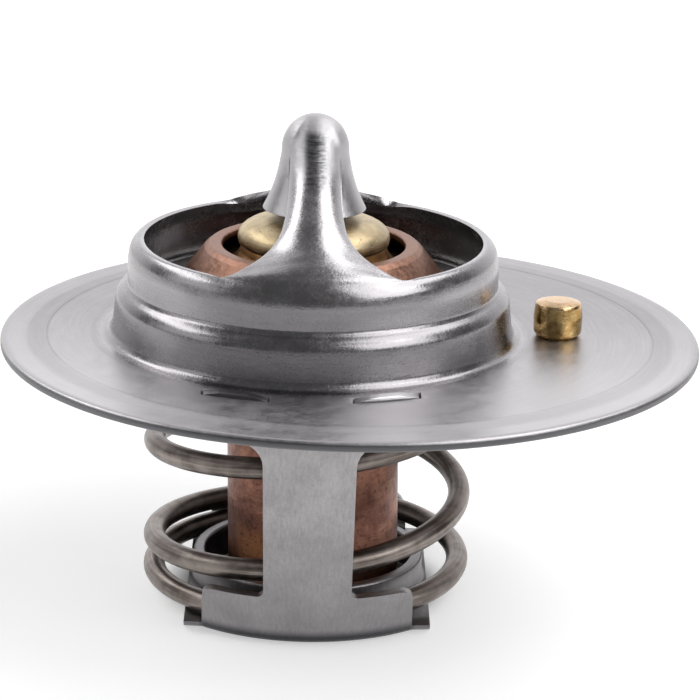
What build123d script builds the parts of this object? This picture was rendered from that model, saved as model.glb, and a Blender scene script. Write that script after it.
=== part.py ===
from build123d import *
import math
import os

os.makedirs("parts", exist_ok=True)

# Engine coolant thermostat (wax capsule, poppet plate, jiggle pin), millimetres.
# Frame: Z = 0 is the underside of the flange's outer band, where the flange seats in
# its housing. The origin is the centre of the flange rim and +Z points downstream,
# through the throat to the bridge. The throat, capsule, spring and stirrup share one
# axis that is offset along X from the flange centre; the jiggle pin is on the same diameter.

# ---- flange ----
flange_d = 54.0
flange_r = flange_d / 2
sheet = 0.70               # stainless sheet of flange, throat and bridge
band_drop = 0.12           # the outer band sits this much lower than the inner flat
crease_r = 23.70           # where the inner flat starts to slope down
band_r = 24.90             # where the outer band starts
rim_round = 0.15           # rounding of the rim's upper edge
deck = sheet + band_drop   # top of the inner flat

# ---- throat: drawn from the same sheet, in two steps ----
axis_x = -2.95             # throat axis, from the flange centre
lower_r = 15.50            # outside of the lower wall
upper_r = 14.30            # outside of the upper wall
foot_round = 0.85          # concave fillet between flange and lower wall
seat_z = deck + 2.90       # where the lower wall turns in to the step
step_round = 0.80          # outside radius of the step's shoulder
step_hollow = 0.40         # outside radius of the step's groove
lip_z = deck + 6.25        # where the upper wall starts to curl in
rim_z = deck + 7.40        # top of the throat
rim_r = 13.60              # outside radius at the top

# ---- bridge: bell and two legs, from the same sheet ----
bell_outer = [(1.20, 16.90), (1.90, 16.35), (2.35, 15.55), (2.58, 14.50), (2.80, 13.30), (3.15, 12.10), (3.55, 10.90), (3.92, 9.90)]
bell_inner = [(0.85, 16.27), (1.38, 15.82), (1.70, 15.25), (1.90, 14.40), (2.11, 13.20), (2.46, 12.00), (2.87, 10.80), (3.24, 9.80)]
bell_top = 17.20
bell_slit_top = 13.90      # the slits between leg and bell skirt end at this height
bell_slit_half = 1.95
# stations of a leg's outer face, heights over the deck: crown of the section (distance
# from the axis, height), then its edge (half width, distance from the axis, height)
leg_stations = [
    (14.27, 5.60, 8.70, 11.31, 5.60),
    (14.22, 6.60, 8.70, 11.25, 6.50),
    (13.98, 7.40, 7.80, 11.18, 7.25),
    (13.42, 8.02, 6.60, 11.66, 7.60),
    (12.68, 8.54, 5.50, 11.48, 7.96),
    (11.80, 9.03, 4.50, 10.80, 8.34),
    (10.78, 9.58, 3.65, 9.90, 8.70),
    (9.56, 10.30, 2.95, 8.84, 9.25),
    (8.25, 11.12, 2.45, 7.60, 9.97),
    (6.48, 12.26, 2.12, 5.85, 11.04),
    (4.90, 13.30, 2.00, 4.25, 12.10),
    (3.55, 14.23, 1.95, 2.95, 13.08),
    (2.10, 15.40, 1.85, 1.75, 14.27),
]

# ---- lower stirrup ----
stirrup_sheet = 0.90
base_z = deck - 21.00      # underside of the bottom plate
base_top = base_z + stirrup_sheet
neck_r = 8.15              # bore of the raised neck that guides the capsule
neck_top = deck - 17.90
leg_r0 = 13.68             # outside radius of a leg at leg_z0
leg_z0 = deck - 19.30
leg_slope = 0.246          # the legs lean out by this much per unit of height
base_half = 9.40           # the bottom plate is cut straight at this half width
foot_half = 8.00
foot_top = deck - 16.80
web_half = 3.35
bar_low = deck - 3.60
bar_half = 8.00
bar_top = deck - sheet - 0.02
tab_in, tab_out = 3.15, 7.85
tab_top = deck + 0.35
bend_out, bend_in = 1.70, 0.80
slot_gap = 0.15            # clearance round the tabs in the flange's slots

# ---- valve plate ----
plate_t = 0.80
plate_r = 14.40
plate_bore = 7.20
plate_top = deck + 3.08
plate_raise = 0.45
plate_raise_r = 10.00

# ---- wax capsule ----
cup_r = 6.70
cup_t = 0.60
cup_bottom = deck - 20.30
flare_z = plate_top + plate_raise     # underside of the flare, on the plate
crimp_r = 10.30
crimp_t = 0.70
crimp_top = deck + 7.05

# ---- piston and guide ----
piston_r = 1.55
bore_r = 1.60
piston_low = deck - 15.00
piston_high = deck + 16.44
guide_head_r = 5.85
guide_top = deck + 9.20

# ---- return spring ----
wire_r = 0.85
spring_r = 11.78
spring_low = base_top + wire_r + 0.05
spring_high = plate_top - plate_t - wire_r - 0.06

# ---- jiggle pin ----
pin_x = 16.10
pin_hole_r = 1.20
pin_stem_r = 0.85
pin_head_r = 1.90
pin_head_h = 2.90
pin_bulb_r = 1.65
pin_travel = 1.50

axis_line = Axis((axis_x, 0, 0), (0, 0, 1))


def at(points, dz=0.0):
    """Profile points given from the throat axis, placed in the XZ plane."""
    return [(axis_x + r, z + dz) for r, z in points]


# ================= flange, throat and bridge: one drawn sheet =================
with BuildPart() as flanged_body:
    # the round flange, with its outer band stepped down
    with BuildSketch(Plane.XZ):
        with BuildLine():
            Polyline(
                (0, band_drop), (crease_r, band_drop), (band_r, 0), (flange_r, 0),
                (flange_r, sheet - rim_round),
            )
            RadiusArc((flange_r, sheet - rim_round), (flange_r - rim_round, sheet), -rim_round)
            Polyline(
                (flange_r - rim_round, sheet), (band_r, sheet), (crease_r, deck), (0, deck), (0, band_drop),
            )
        make_face()
    revolve(axis=Axis.Z)
    # opening for the throat
    with BuildSketch(Plane.XY.offset(-1)):
        with Locations((axis_x, 0)):
            Circle(lower_r + 1.30)
    extrude(amount=4, mode=Mode.SUBTRACT)
    # stepped throat
    with BuildSketch(Plane.XZ):
        with BuildLine():
            p = at([
                (lower_r + 1.30, deck), (lower_r + foot_round, deck), (lower_r, deck + foot_round), (lower_r, seat_z),
                (lower_r - step_round, seat_z + step_round), (upper_r, seat_z + step_round + step_hollow),
                (upper_r, lip_z), (rim_r + 0.02, rim_z),
            ])
            Line(p[0], p[1])
            RadiusArc(p[1], p[2], foot_round)
            Line(p[2], p[3])
            RadiusArc(p[3], p[4], -step_round)
            RadiusArc(p[4], p[5], step_hollow)
            Line(p[5], p[6])
            RadiusArc(p[6], p[7], -1.30)
            q = at([
                (rim_r - 0.45, rim_z - 0.05), (upper_r - sheet, lip_z - 0.15),
                (upper_r - sheet, seat_z + step_round + step_hollow), (lower_r - step_round, seat_z + 0.10),
                (lower_r - sheet, seat_z), (lower_r - sheet, deck + foot_round),
                (lower_r + foot_round, band_drop), (lower_r + 1.30, band_drop),
            ])
            Line(p[7], q[0])
            RadiusArc(q[0], q[1], 2.2)
            Line(q[1], q[2])
            RadiusArc(q[2], q[3], -(sheet + step_hollow))
            RadiusArc(q[3], q[4], 0.10)
            Line(q[4], q[5])
            RadiusArc(q[5], q[6], -(sheet + foot_round))
            Line(q[6], q[7])
            Line(q[7], p[0])
        make_face()
    revolve(axis=axis_line)
    # the bell that holds the piston's tip
    with BuildSketch(Plane.XZ):
        with BuildLine():
            Spline(*at([(0, bell_top)] + bell_outer, deck), tangents=[(1, 0), (0.40, -1)])
            Line(*at([bell_outer[-1], bell_inner[-1]], deck))
            Spline(*at([(0, bell_top - sheet)] + bell_inner, deck), tangents=[(1, 0), (0.40, -1)])
            Line(*at([(0, bell_top - sheet), (0, bell_top)], deck))
        make_face()
    revolve(axis=axis_line)
    # slits that part the legs from the bell's skirt, front and back
    with BuildSketch(Plane.XZ):
        with Locations((axis_x, deck + bell_slit_top - 5)):
            Rectangle(2 * bell_slit_half, 10)
    extrude(amount=5, both=True, mode=Mode.SUBTRACT)

# the front leg, lofted through its stations, and its mirror image
with BuildPart() as leg:
    for crown_d, crown_h, half, edge_d, edge_h in leg_stations:
        sag = math.hypot(edge_d - crown_d, edge_h - crown_h)
        inward = Vector(0, crown_d - edge_d, edge_h - crown_h).normalized()
        rc = (half**2 + sag**2) / (2 * sag)
        ang = math.asin(half / rc)
        ri = rc - sheet
        with BuildSketch(Plane(origin=(axis_x, -crown_d, deck + crown_h), x_dir=(1, 0, 0), z_dir=Vector(1, 0, 0).cross(inward))):
            with BuildLine():
                o1 = (-rc * math.sin(ang), rc - rc * math.cos(ang))
                o2 = (rc * math.sin(ang), rc - rc * math.cos(ang))
                i1 = (-ri * math.sin(ang), rc - ri * math.cos(ang))
                i2 = (ri * math.sin(ang), rc - ri * math.cos(ang))
                ThreePointArc(o1, (0, 0), o2)
                Line(o2, i2)
                ThreePointArc(i2, (0, sheet), i1)
                Line(i1, o1)
            make_face()
    loft()
    mirror(about=Plane.XZ)

with flanged_body:
    add(leg.part)
    # slots for the stirrup's tabs, concentric with the throat
    slot_mid = leg_r0 + leg_slope * (deck - leg_z0) - 0.5 * stirrup_sheet
    with BuildSketch(Plane.XY.offset(-1)):
        with Locations((axis_x, 0)):
            Circle(slot_mid + 0.5 * stirrup_sheet + slot_gap)
            Circle(slot_mid - 0.5 * stirrup_sheet - slot_gap - 0.10, mode=Mode.SUBTRACT)
            Rectangle(2 * (tab_in - slot_gap), 60, mode=Mode.SUBTRACT)
        with Locations((axis_x - tab_out - slot_gap - 10, 0), (axis_x + tab_out + slot_gap + 10, 0)):
            Rectangle(20, 60, mode=Mode.SUBTRACT)
    extrude(amount=3, mode=Mode.SUBTRACT)
    # hole for the jiggle pin
    with BuildSketch(Plane.XY.offset(-1)):
        with Locations((pin_x, 0)):
            Circle(pin_hole_r)
    extrude(amount=3, mode=Mode.SUBTRACT)

# ================= lower stirrup: one stamped and folded sheet =================
lean = math.hypot(1, leg_slope)
thick_r = stirrup_sheet * lean          # a leg's thickness measured along the radius


def leg_out(z):
    return leg_r0 + leg_slope * (z - leg_z0)


with BuildPart() as lower_stirrup:
    # bottom plate's outer part, fold and leaning wall, all round
    with BuildSketch(Plane.XZ) as wall:
        with BuildLine():
            Polyline(
                *at([
                    (11.2, base_z), (leg_out(base_z), base_z), (leg_out(tab_top), tab_top),
                    (leg_out(tab_top) - thick_r, tab_top), (leg_out(base_top) - thick_r, base_top),
                    (11.2, base_top), (11.2, base_z),
                ])
            )
        make_face()
        corners = wall.vertices()
        low = corners.sort_by_distance((axis_x + leg_out(base_z), base_z))[0]
        fillet(low, radius=bend_out)
        corners = wall.vertices()
        inner = corners.sort_by_distance((axis_x + leg_out(base_top) - thick_r, base_top))[0]
        fillet(inner, radius=bend_in)
    revolve(axis=axis_line)
    # cut to the developed outline: plate, feet, webs, top bars and tabs
    with BuildSketch(Plane.XZ) as outline:
        with BuildLine():
            half = [
                (base_half, base_z - 1), (base_half, base_top), (foot_half, base_top), (foot_half, foot_top),
                (web_half, foot_top), (web_half, bar_low), (bar_half, bar_low), (bar_half, bar_top),
                (tab_out, bar_top), (tab_out, tab_top + 1), (tab_in, tab_top + 1), (tab_in, bar_top),
            ]
            ring = half + [(-x, z) for x, z in reversed(half)] + [half[0]]
            Polyline(*[(axis_x + x, z) for x, z in ring])
        make_face()
        for sx in (-1, 1):
            for px, pz, rad in ((foot_half, foot_top, 1.0), (web_half, foot_top, 0.5), (web_half, bar_low, 1.9), (bar_half, bar_low, 0.6)):
                v = outline.vertices().sort_by_distance((axis_x + sx * px, pz))[0]
                fillet(v, radius=rad)
    extrude(amount=25, both=True, mode=Mode.INTERSECT)
    # bottom plate's inner part with the raised neck
    with BuildSketch(Plane.XZ):
        with BuildLine():
            n = at([
                (11.2, base_z), (neck_r + 1.25, base_z), (neck_r, base_z + 1.25), (neck_r, neck_top - 0.15),
                (neck_r + 0.15, neck_top), (neck_r + stirrup_sheet - 0.2, neck_top), (neck_r + stirrup_sheet, neck_top - 0.2),
                (neck_r + stirrup_sheet, base_top + 0.4), (neck_r + stirrup_sheet + 0.4, base_top), (11.2, base_top),
            ])
            Line(n[0], n[1])
            RadiusArc(n[1], n[2], 1.25)
            Polyline(*n[2:8])
            RadiusArc(n[7], n[8], -0.4)
            Line(n[8], n[9])
            Line(n[9], n[0])
        make_face()
    revolve(axis=axis_line)
    with BuildSketch(Plane.XY.offset(base_z - 1)):
        with Locations((axis_x - base_half - 10, 0), (axis_x + base_half + 10, 0)):
            Rectangle(20, 60)
    extrude(amount=4.5, mode=Mode.SUBTRACT)
    # short wings of the bottom plate beside the feet, at the feet's depth
    with BuildSketch(Plane.XY.offset(base_z + 0.05)):
        for sx in (-1, 1):
            for sy in (-1, 1):
                with Locations((axis_x + sx * (base_half - 0.75), sy * 9.35)):
                    Rectangle(1.50, 2.00)
    extrude(amount=stirrup_sheet - 0.05)

# ================= valve plate =================
with BuildPart() as valve_plate:
    with BuildSketch(Plane.XZ) as vp:
        with BuildLine():
            hi, lo = plate_top, plate_top - plate_t
            Polyline(
                *at([
                    (plate_bore, lo + plate_raise), (plate_raise_r, lo + plate_raise), (plate_raise_r + 0.7, lo),
                    (plate_r, lo), (plate_r, hi), (plate_raise_r + 0.9, hi), (plate_raise_r + 0.2, hi + plate_raise),
                    (plate_bore, hi + plate_raise), (plate_bore, lo + plate_raise),
                ])
            )
        make_face()
        for z in (lo, hi):
            v = vp.vertices().sort_by_distance((axis_x + plate_r, z))[0]
            fillet(v, radius=0.25)
    revolve(axis=axis_line)

# ================= wax capsule: copper cup with its crimp =================
with BuildPart() as wax_cup:
    with BuildSketch(Plane.XZ):
        with BuildLine():
            cb, fz, ct = cup_bottom, flare_z, crimp_top
            o = at([
                (0, cb), (cup_r - 1.3, cb), (cup_r, cb + 1.3), (cup_r, fz - 0.4), (cup_r + 0.4, fz), (crimp_r - 0.7, fz),
                (crimp_r, fz + 0.7), (8.38, ct - 0.36), (7.70, ct), (7.05, ct - 0.28),
            ])
            Line(o[0], o[1])
            RadiusArc(o[1], o[2], -1.3)
            Line(o[2], o[3])
            RadiusArc(o[3], o[4], 0.4)
            Line(o[4], o[5])
            RadiusArc(o[5], o[6], -0.7)
            Line(o[6], o[7])
            ThreePointArc(o[7], (axis_x + 8.10, ct - 0.09), o[8])
            ThreePointArc(o[8], (axis_x + 7.28, ct - 0.07), o[9])
            c = at([
                (7.15, ct - 0.56), (7.60, ct - 0.74), (crimp_r - 0.85, fz + 0.95), (crimp_r - 1.0, fz + 0.6),
                (cup_r + 0.4, fz + 0.6), (cup_r - cup_t, fz - 0.4), (cup_r - cup_t, cb + 1.3), (cup_r - 1.3, cb + cup_t), (0, cb + cup_t),
            ])
            Line(o[9], c[0])
            Line(c[0], c[1])
            Line(c[1], c[2])
            Line(c[2], c[3])
            Line(c[3], c[4])
            RadiusArc(c[4], c[5], -1.0)
            Line(c[5], c[6])
            RadiusArc(c[6], c[7], 0.7)
            Line(c[7], c[8])
            Line(c[8], o[0])
        make_face()
    revolve(axis=axis_line)

# clamped stack inside the crimp: boot flange, then guide flange
boot_flange_low = flare_z + 0.60
boot_flange_top = boot_flange_low + 0.60

# ================= piston guide: turned brass =================
with BuildPart() as piston_guide:
    with BuildSketch(Plane.XZ):
        with BuildLine():
            gl, gt = boot_flange_top, guide_top
            g = at([
                (bore_r, gt - 0.30), (bore_r, gl + 0.72), (3.00, gl + 0.72), (3.00, gl), (9.00, gl), (8.05, gl + 0.84),
                (7.70, gl + 0.94), (6.60, gl + 0.94), (6.10, gl + 1.12), (5.72, deck + 6.40), (5.58, deck + 7.10),
                (5.70, deck + 7.16), (guide_head_r, deck + 7.45),
            ])
            Polyline(*g)
            Spline(
                g[-1], *at([(5.72, deck + 7.95), (5.15, deck + 8.48), (4.00, deck + 8.93)]), *at([(2.20, gt)]),
                tangents=[(0, 1), (-1, 0)],
            )
            Line(*at([(2.20, gt), (bore_r + 0.30, gt)]))
            Line(*at([(bore_r + 0.30, gt), (bore_r, gt - 0.30)]))
        make_face()
    revolve(axis=axis_line)

# ================= backup washer: hard plastic ring under the guide =================
with BuildPart() as backup_washer:
    with BuildSketch(Plane.XZ):
        with Locations((axis_x + (bore_r + 2.95) / 2, boot_flange_top + 0.36)):
            Rectangle(2.95 - bore_r, 0.66)
    revolve(axis=axis_line)

# ================= rubber boot: sleeve round the piston, with a clamped flange =================
with BuildPart() as rubber_boot:
    with BuildSketch(Plane.XZ):
        with BuildLine():
            b = at([
                (0, piston_low - 2.0), (2.4, piston_low - 2.0), (3.3, piston_low - 1.1), (3.3, boot_flange_low - 0.6),
                (3.9, boot_flange_low), (9.05, boot_flange_low), (9.05, boot_flange_top), (bore_r, boot_flange_top),
                (bore_r, piston_low - 0.3), (0, piston_low - 0.3), (0, piston_low - 2.0),
            ])
            Line(b[0], b[1])
            RadiusArc(b[1], b[2], -0.9)
            Line(b[2], b[3])
            RadiusArc(b[3], b[4], 0.6)
            Polyline(*b[4:])
        make_face()
    revolve(axis=axis_line)

# ================= wax charge round the boot =================
with BuildPart() as wax_charge:
    with BuildSketch(Plane.XZ):
        with BuildLine():
            wl = cup_bottom + cup_t + 0.04
            Polyline(
                *at([
                    (0, wl), (cup_r - 1.45, wl), (cup_r - cup_t - 0.04, wl + 0.85), (cup_r - cup_t - 0.04, boot_flange_low - 0.04),
                    (4.2, boot_flange_low - 0.04), (3.4, boot_flange_low - 0.9), (3.4, piston_low - 2.1), (0, piston_low - 2.1), (0, wl),
                ])
            )
        make_face()
    revolve(axis=axis_line)

# ================= piston: ground stainless pin =================
with BuildPart() as piston:
    with BuildSketch(Plane.XZ):
        with BuildLine():
            Polyline(
                *at([
                    (0, piston_high), (0, piston_low), (piston_r - 0.3, piston_low), (piston_r, piston_low + 0.3),
                    (piston_r, piston_high - 1.35),
                ])
            )
            Spline(
                *at([(piston_r, piston_high - 1.35), (1.15, piston_high - 0.52), (0, piston_high)]),
                tangents=[(0, 1), (-1, 0)],
            )
        make_face()
    revolve(axis=axis_line)

# ================= return spring: right-hand helix with a closed turn at each end =================
# turns counted from where the wire passes the left side for the first time: (turn, rise over spring_low)
spring_rise = [
    (-0.27, 0.00), (0.00, 0.00), (0.25, 0.25), (0.50, 0.85), (0.75, 1.60), (1.00, 2.45), (1.25, 3.95), (1.50, 6.35), (1.75, 8.35),
    (2.00, 10.20), (2.25, 12.00), (2.50, 13.90), (2.75, 16.00), (3.00, 18.00), (3.25, 19.30), (3.50, 19.95), (3.75, 20.30), (4.00, 20.40),
]
rise_scale = (spring_high - spring_low) / spring_rise[-1][1]


def wire_point(turn):
    """Centre of the wire, going up counter-clockwise seen from above, on a smooth rise."""
    k = 1
    while k < len(spring_rise) - 2 and spring_rise[k][0] <= turn:
        k += 1
    k = min(max(k, 1), len(spring_rise) - 1)
    (ta, za), (tb, zb) = spring_rise[k - 1], spring_rise[k]
    tp, zp = spring_rise[max(k - 2, 0)]
    tn, zn = spring_rise[min(k + 1, len(spring_rise) - 1)]
    ma = (zb - zp) / (tb - tp) if k > 1 else 0.0
    mb = (zn - za) / (tn - ta) if k < len(spring_rise) - 1 else 0.0
    h = tb - ta
    u = (turn - ta) / h
    z = (2 * u**3 - 3 * u**2 + 1) * za + (u**3 - 2 * u**2 + u) * h * ma + (3 * u**2 - 2 * u**3) * zb + (u**3 - u**2) * h * mb
    a = math.radians(180 + 360 * turn)
    return (axis_x + spring_r * math.cos(a), spring_r * math.sin(a), spring_low + rise_scale * z)


first, last = spring_rise[0][0], spring_rise[-1][0]
steps = int(round((last - first) * 20))
with BuildPart() as return_spring:
    with BuildLine() as spring_path:
        Spline(*[wire_point(first + (last - first) * i / steps) for i in range(steps + 1)])
    with BuildSketch(Plane(origin=spring_path.line @ 0, z_dir=spring_path.line % 0)):
        Circle(wire_r)
    sweep(path=spring_path.line, is_frenet=True)

# ================= jiggle pin: brass, free in its hole =================
with BuildPart() as jiggle_pin:
    with BuildSketch(Plane.XZ):
        with BuildLine():
            bz = band_drop - pin_travel          # top of the bulb below the flange
            pts = [
                (0, deck + pin_head_h), (1.20, deck + pin_head_h - 0.04), (1.72, deck + pin_head_h - 0.22), (pin_head_r, deck + 1.60),
                (pin_head_r - 0.06, deck + 0.30), (pin_head_r - 0.28, deck + 0.01), (pin_stem_r, deck + 0.01), (pin_stem_r, bz - 0.10),
            ]
            Polyline(*[(pin_x + r, z) for r, z in pts])
            bulb = [(pin_stem_r, bz - 0.10), (1.45, bz - 0.75), (pin_bulb_r, bz - 1.60), (1.25, bz - 2.70), (0, bz - 3.20)]
            Spline(*[(pin_x + r, z) for r, z in bulb], tangents=[(0.6, -0.4), (-1, 0)])
            Line((pin_x, bz - 3.20), (pin_x, deck + pin_head_h))
        make_face()
    revolve(axis=Axis((pin_x, 0, 0), (0, 0, 1)))

flanged_body.part.label = "flanged_body"
lower_stirrup.part.label = "lower_stirrup"
valve_plate.part.label = "valve_plate"
wax_cup.part.label = "wax_cup"
piston_guide.part.label = "piston_guide"
backup_washer.part.label = "backup_washer"
rubber_boot.part.label = "rubber_boot"
wax_charge.part.label = "wax_charge"
piston.part.label = "piston"
return_spring.part.label = "return_spring"
jiggle_pin.part.label = "jiggle_pin"

export_step(flanged_body.part, "parts/flanged_body.step")
export_step(lower_stirrup.part, "parts/lower_stirrup.step")
export_step(valve_plate.part, "parts/valve_plate.step")
export_step(wax_cup.part, "parts/wax_cup.step")
export_step(piston_guide.part, "parts/piston_guide.step")
export_step(backup_washer.part, "parts/backup_washer.step")
export_step(rubber_boot.part, "parts/rubber_boot.step")
export_step(wax_charge.part, "parts/wax_charge.step")
export_step(piston.part, "parts/piston.step")
export_step(return_spring.part, "parts/return_spring.step")
export_step(jiggle_pin.part, "parts/jiggle_pin.step")
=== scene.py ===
import bpy
import bmesh
import math
import numpy as np
from mathutils import Matrix, Vector


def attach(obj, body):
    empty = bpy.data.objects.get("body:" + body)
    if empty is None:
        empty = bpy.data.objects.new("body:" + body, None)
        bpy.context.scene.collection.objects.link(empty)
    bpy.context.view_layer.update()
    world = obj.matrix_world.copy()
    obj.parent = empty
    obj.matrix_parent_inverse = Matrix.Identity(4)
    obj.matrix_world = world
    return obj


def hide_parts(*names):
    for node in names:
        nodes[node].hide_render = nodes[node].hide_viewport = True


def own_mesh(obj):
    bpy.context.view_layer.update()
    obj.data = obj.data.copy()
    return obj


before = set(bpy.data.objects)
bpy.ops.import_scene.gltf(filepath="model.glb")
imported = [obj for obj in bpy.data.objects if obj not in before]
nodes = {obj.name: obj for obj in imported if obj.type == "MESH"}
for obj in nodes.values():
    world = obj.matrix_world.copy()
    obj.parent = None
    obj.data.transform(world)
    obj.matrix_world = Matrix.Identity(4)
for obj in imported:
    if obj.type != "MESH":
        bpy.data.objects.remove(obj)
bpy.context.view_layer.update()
MM = 0.001

# ---------------------------------------------------------------- dimensions, mm, in the row frame
SHEET = 0.70
DROP = 0.12
DECK = SHEET + DROP
FLANGE_R = 27.0
AX = -2.95                 # throat axis
LOWER_R, UPPER_R = 15.50, 14.30
SEAT = DECK + 2.90
LIP = DECK + 6.25
RIM = DECK + 7.40
BASE = DECK - 21.00
BASE_TOP = BASE + 0.90
PLATE_TOP = DECK + 3.08
PLATE_LOW = PLATE_TOP - 0.80
PIN_X = 16.10


# ---------------------------------------------------------------- mesh helpers
def new_object(name, verts, faces, mat=None, smooth=True, sharp=38.0):
    me = bpy.data.meshes.new(name)
    v = np.asarray(verts, float) * MM
    me.from_pydata(v.tolist(), [], [tuple(int(i) for i in f) for f in faces])
    me.validate(clean_customdata=False)
    me.update()
    ob = bpy.data.objects.new(name, me)
    bpy.context.scene.collection.objects.link(ob)
    if smooth:
        me.polygons.foreach_set("use_smooth", [True] * len(me.polygons))
        if sharp:
            me.set_sharp_from_angle(angle=math.radians(sharp))
    if mat is not None:
        me.materials.append(mat)
    return ob


def apply_modifiers(ob):
    bpy.context.view_layer.update()
    dg = bpy.context.evaluated_depsgraph_get()
    me = bpy.data.meshes.new_from_object(ob.evaluated_get(dg), preserve_all_data_layers=True, depsgraph=dg)
    old = ob.data
    ob.modifiers.clear()
    ob.data = me
    bpy.data.meshes.remove(old)
    me.name = ob.name
    return ob


def bevel(ob, width, angle=50, segments=2, clamp=True):
    m = ob.modifiers.new("bevel", "BEVEL")
    m.width = width * MM
    m.segments = segments
    m.limit_method = "ANGLE"
    m.angle_limit = math.radians(angle)
    m.use_clamp_overlap = clamp
    m.profile = 0.5
    return apply_modifiers(ob)


def boolean(ob, cutter, operation="DIFFERENCE"):
    m = ob.modifiers.new("cut", "BOOLEAN")
    m.operation = operation
    m.solver = "EXACT"
    m.object = cutter
    apply_modifiers(ob)
    me = cutter.data
    bpy.data.objects.remove(cutter)
    bpy.data.meshes.remove(me)
    return ob


def reshade(ob, sharp=38.0):
    me = ob.data
    me.polygons.foreach_set("use_smooth", [True] * len(me.polygons))
    me.set_sharp_from_angle(angle=math.radians(sharp))
    me.update()
    return ob


def rounded(points, steps=5, limit=0.49):
    """A polyline of (r, z) or (r, z, fillet radius) with its corners rounded."""
    out = []
    n = len(points)
    for i, p in enumerate(points):
        rad = p[2] if len(p) > 2 else 0.0
        c = np.array(p[:2], float)
        if rad <= 0 or i in (0, n - 1):
            out.append(tuple(c))
            continue
        a = np.array(points[i - 1][:2], float) - c
        b = np.array(points[i + 1][:2], float) - c
        la, lb = np.linalg.norm(a), np.linalg.norm(b)
        a, b = a / la, b / lb
        cosang = float(np.clip(a @ b, -1, 1))
        ang = math.acos(cosang)
        if ang > math.pi - 1e-3:
            out.append(tuple(c))
            continue
        cut = rad / math.tan(ang / 2)
        cut = min(cut, limit * la, limit * lb)
        rad = cut * math.tan(ang / 2)
        mid = (a + b) / np.linalg.norm(a + b)
        centre = c + mid * (rad / math.sin(ang / 2))
        s = c + a * cut - centre
        e = c + b * cut - centre
        a0, a1 = math.atan2(s[1], s[0]), math.atan2(e[1], e[0])
        d = (a1 - a0 + math.pi) % (2 * math.pi) - math.pi
        for k in range(steps + 1):
            t = a0 + d * k / steps
            out.append((centre[0] + rad * math.cos(t), centre[1] + rad * math.sin(t)))
    clean = [out[0]]
    for p in out[1:]:
        if math.hypot(p[0] - clean[-1][0], p[1] - clean[-1][1]) > 1e-4:
            clean.append(p)
    return clean


def refine(points, longest):
    """Extra points on long runs, so that shading stays even."""
    out = [points[0]]
    for a, b in zip(points[:-1], points[1:]):
        n = max(1, int(math.ceil(math.hypot(b[0] - a[0], b[1] - a[1]) / longest)))
        for k in range(1, n + 1):
            out.append((a[0] + (b[0] - a[0]) * k / n, a[1] + (b[1] - a[1]) * k / n))
    return out


def lathe(name, profile, cx, cy=0.0, segs=192, mat=None, closed=True, sharp=38.0, wobble=None):
    """Revolves an (r, z) profile about the vertical through (cx, cy). Points on the axis become poles."""
    verts, faces, rings = [], [], []
    for r, z in profile:
        if r < 1e-6:
            rings.append([len(verts)])
            verts.append((cx, cy, z))
        else:
            rings.append(list(range(len(verts), len(verts) + segs)))
            for k in range(segs):
                t = 2 * math.pi * k / segs
                rr = r if wobble is None else r + wobble(r, z, t)
                verts.append((cx + rr * math.sin(t), cy - rr * math.cos(t), z))
    pairs = list(zip(rings[:-1], rings[1:]))
    if closed and len(rings[0]) > 1 and len(rings[-1]) > 1:
        pairs.append((rings[-1], rings[0]))
    for a, b in pairs:
        for k in range(segs):
            k2 = (k + 1) % segs
            if len(a) == 1 and len(b) == 1:
                break
            if len(a) == 1:
                faces.append((a[0], b[k2], b[k]))
            elif len(b) == 1:
                faces.append((a[k], a[k2], b[0]))
            else:
                faces.append((a[k], a[k2], b[k2], b[k]))
    ob = new_object(name, verts, faces, mat, sharp=None)
    bm = bmesh.new()
    bm.from_mesh(ob.data)
    bmesh.ops.recalc_face_normals(bm, faces=bm.faces)
    bm.to_mesh(ob.data)
    bm.free()
    return reshade(ob, sharp)


def prism(name, outline, y0, y1):
    """A closed outline of (x, z) extruded from y0 to y1."""
    n = len(outline)
    verts = [(x, y0, z) for x, z in outline] + [(x, y1, z) for x, z in outline]
    faces = [tuple(range(n))[::-1], tuple(range(n, 2 * n))]
    faces += [(i, (i + 1) % n, n + (i + 1) % n, n + i) for i in range(n)]
    ob = new_object(name, verts, faces, smooth=False)
    bm = bmesh.new()
    bm.from_mesh(ob.data)
    bmesh.ops.recalc_face_normals(bm, faces=bm.faces)
    bm.to_mesh(ob.data)
    bm.free()
    return ob


def smooth_curve(xs, table):
    """Monotone-ish cubic (Catmull-Rom on uneven knots) through table rows (t, a, b, ...)."""
    tab = np.array(table, float)
    t, y = tab[:, 0], tab[:, 1:]
    d = np.zeros_like(y)
    h = np.diff(t)[:, None]
    s = np.diff(y, axis=0) / h
    d[1:-1] = (s[:-1] * h[1:] + s[1:] * h[:-1]) / (h[1:] + h[:-1])
    flat = s[:-1] * s[1:] <= 0
    d[1:-1][flat] = 0
    lim = 3 * np.minimum(abs(s[:-1]), abs(s[1:]))
    d[1:-1] = np.clip(d[1:-1], -lim, lim)
    d[0], d[-1] = s[0], s[-1]
    xs = np.clip(np.asarray(xs, float), t[0], t[-1])
    k = np.clip(np.searchsorted(t, xs, side="right") - 1, 0, len(t) - 2)
    hh = (t[k + 1] - t[k])[:, None]
    u = ((xs - t[k])[:, None]) / hh
    return ((2 * u**3 - 3 * u**2 + 1) * y[k] + (u**3 - 2 * u**2 + u) * hh * d[k] + (3 * u**2 - 2 * u**3) * y[k + 1]
            + (u**3 - u**2) * hh * d[k + 1])


# ---------------------------------------------------------------- flange, throat and bridge
N = 288                     # columns round the throat, 1.25 degrees each
LEG = 24                    # a leg takes the columns from -24 to 24
CORNER = math.radians(LEG * 360 / N)
deg = math.radians

# rows from the flange's rim to the wall: x of ring's centre, outer r, outer z, inner r, inner z
rows = []


def row(cx, ro, zo, ri, zi):
    rows.append((cx, ro, zo, ri, zi))


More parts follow.
